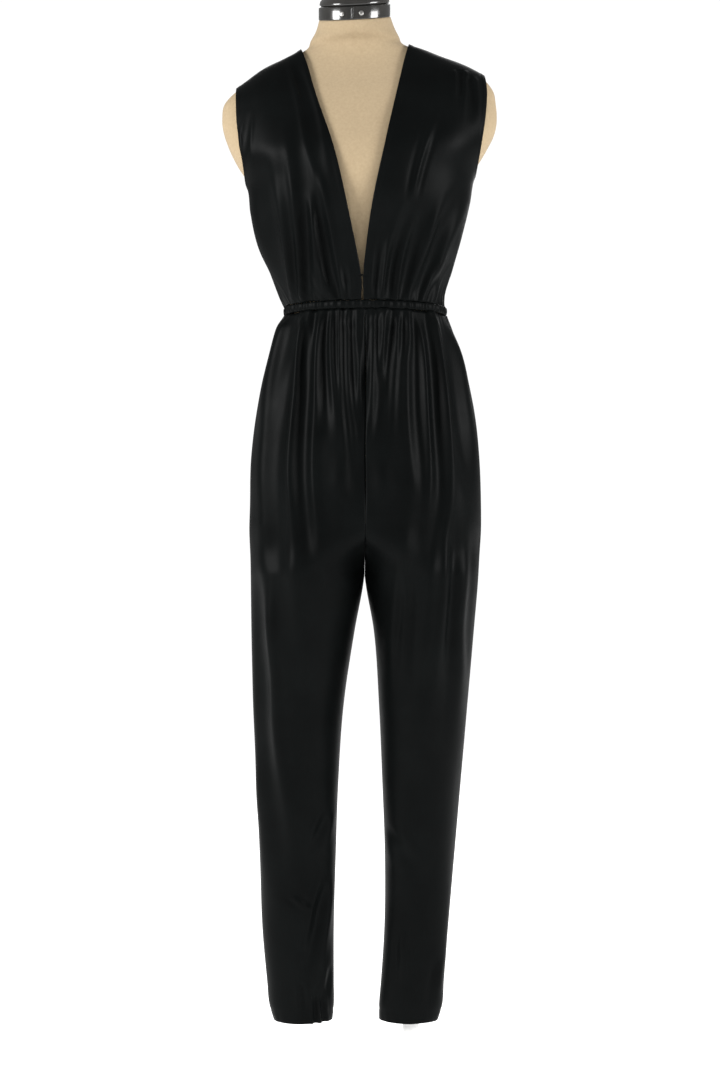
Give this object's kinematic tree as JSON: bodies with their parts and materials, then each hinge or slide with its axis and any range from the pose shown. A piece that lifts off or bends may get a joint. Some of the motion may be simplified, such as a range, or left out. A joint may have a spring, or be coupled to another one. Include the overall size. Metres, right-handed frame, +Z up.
{
  "type": "jumpsuit on a limbless dress form",
  "caption": "Black sleeveless jumpsuit with a deep V neck, gathered elastic waist and tapered legs, on a linen-covered limbless dress form with a pole stand.",
  "frame": {"origin": "on the floor at the middle of the base plate", "axes": "+Z up, the garment's front faces -Y, +X is the wearer's left"},
  "size_m": [0.4219, 0.36, 1.7461],
  "materials": {
    "cloth": "black satin jersey",
    "linen": "plain linen cover",
    "cap": "gloss black",
    "rivet": "bright",
    "stand": "satin white"
  },
  "bodies": {
    "root": {"bodice_front_right": "cloth", "bodice_front_left": "cloth", "bodice_back": "cloth", "waist_casing": "cloth", "trouser_front_right": "cloth", "trouser_front_left": "cloth", "trouser_back_right": "cloth", "trouser_back_left": "cloth", "dress_form": "linen", "neck_band": "cap", "neck_cap": "cap", "band_rivet_1": "rivet", "band_rivet_2": "rivet", "form_collar": "stand", "stand_pole": "stand", "pole_socket": "stand", "stand_base": "stand"}
  },
  "joints": []
}
